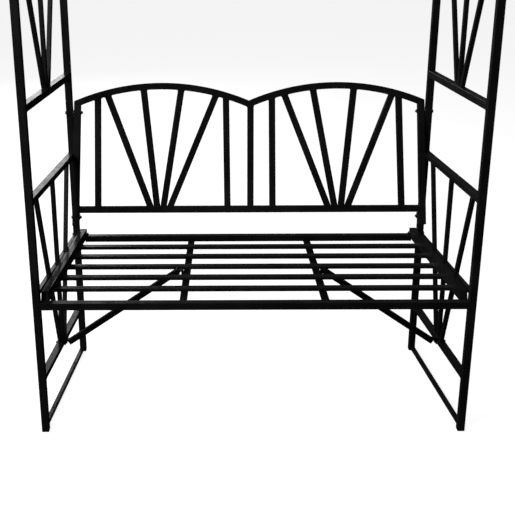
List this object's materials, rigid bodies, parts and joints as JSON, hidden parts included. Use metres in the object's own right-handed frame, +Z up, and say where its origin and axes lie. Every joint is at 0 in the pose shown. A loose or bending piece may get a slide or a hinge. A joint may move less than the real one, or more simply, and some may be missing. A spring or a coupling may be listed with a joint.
{
  "type": "garden arch bench",
  "caption": "Square-tube garden arch with trellis side panels and a built-in slatted bench, its twin-arched backrest filled with fanned bars.",
  "frame": {"origin": "on the ground, below the middle of the overall box", "axes": "+Z up; the open front of the bench faces -Y; +X is to the right of someone who looks at the front. Left and right in node names are as seen from the front."},
  "size_m": [1.2, 0.5196, 1.9999],
  "materials": {
    "powder_coat": "satin black powder coat",
    "zinc": "dull zinc plate"
  },
  "bodies": {
    "root": {"arm_rail_left": "powder_coat", "arm_rail_right": "powder_coat", "back_arch_left": "powder_coat", "back_arch_right": "powder_coat", "back_bar_centre": "powder_coat", "back_bar_inner_left": "powder_coat", "back_bar_inner_right": "powder_coat", "back_bar_outer_left": "powder_coat", "back_bar_outer_right": "powder_coat", "back_fan_left": "powder_coat", "back_fan_right": "powder_coat", "back_rail": "powder_coat", "back_tabs": "powder_coat", "back_upright_left": "powder_coat", "back_upright_right": "powder_coat", "back_washers": "zinc", "brace_left": "powder_coat", "brace_right": "powder_coat", "crown_fan_left": "powder_coat", "crown_fan_right": "powder_coat", "frame_bolts": "zinc", "frame_nuts": "zinc", "ground_rail_left": "powder_coat", "ground_rail_right": "powder_coat", "hoop_front": "powder_coat", "hoop_rear": "powder_coat", "hoop_ties": "powder_coat", "low_rail_left": "powder_coat", "low_rail_right": "powder_coat", "panel_rail_left": "powder_coat", "panel_rail_right": "powder_coat", "post_front_left_lower": "powder_coat", "post_front_left_upper": "powder_coat", "post_front_right_lower": "powder_coat", "post_front_right_upper": "powder_coat", "post_rear_left_lower": "powder_coat", "post_rear_left_upper": "powder_coat", "post_rear_right_lower": "powder_coat", "post_rear_right_upper": "powder_coat", "rail_screws": "zinc", "seat_bearer_left": "powder_coat", "seat_bearer_right": "powder_coat", "seat_front_rail": "powder_coat", "seat_rail_left": "powder_coat", "seat_rail_right": "powder_coat", "seat_rear_rail": "powder_coat", "seat_side_left": "powder_coat", "seat_side_right": "powder_coat", "seat_slats": "powder_coat", "side_bar_front_left": "powder_coat", "side_bar_front_right": "powder_coat", "side_bar_middle_left": "powder_coat", "side_bar_middle_right": "powder_coat", "side_bar_rear_left": "powder_coat", "side_bar_rear_right": "powder_coat", "spring_rail_left": "powder_coat", "spring_rail_right": "powder_coat"}
  },
  "joints": []
}
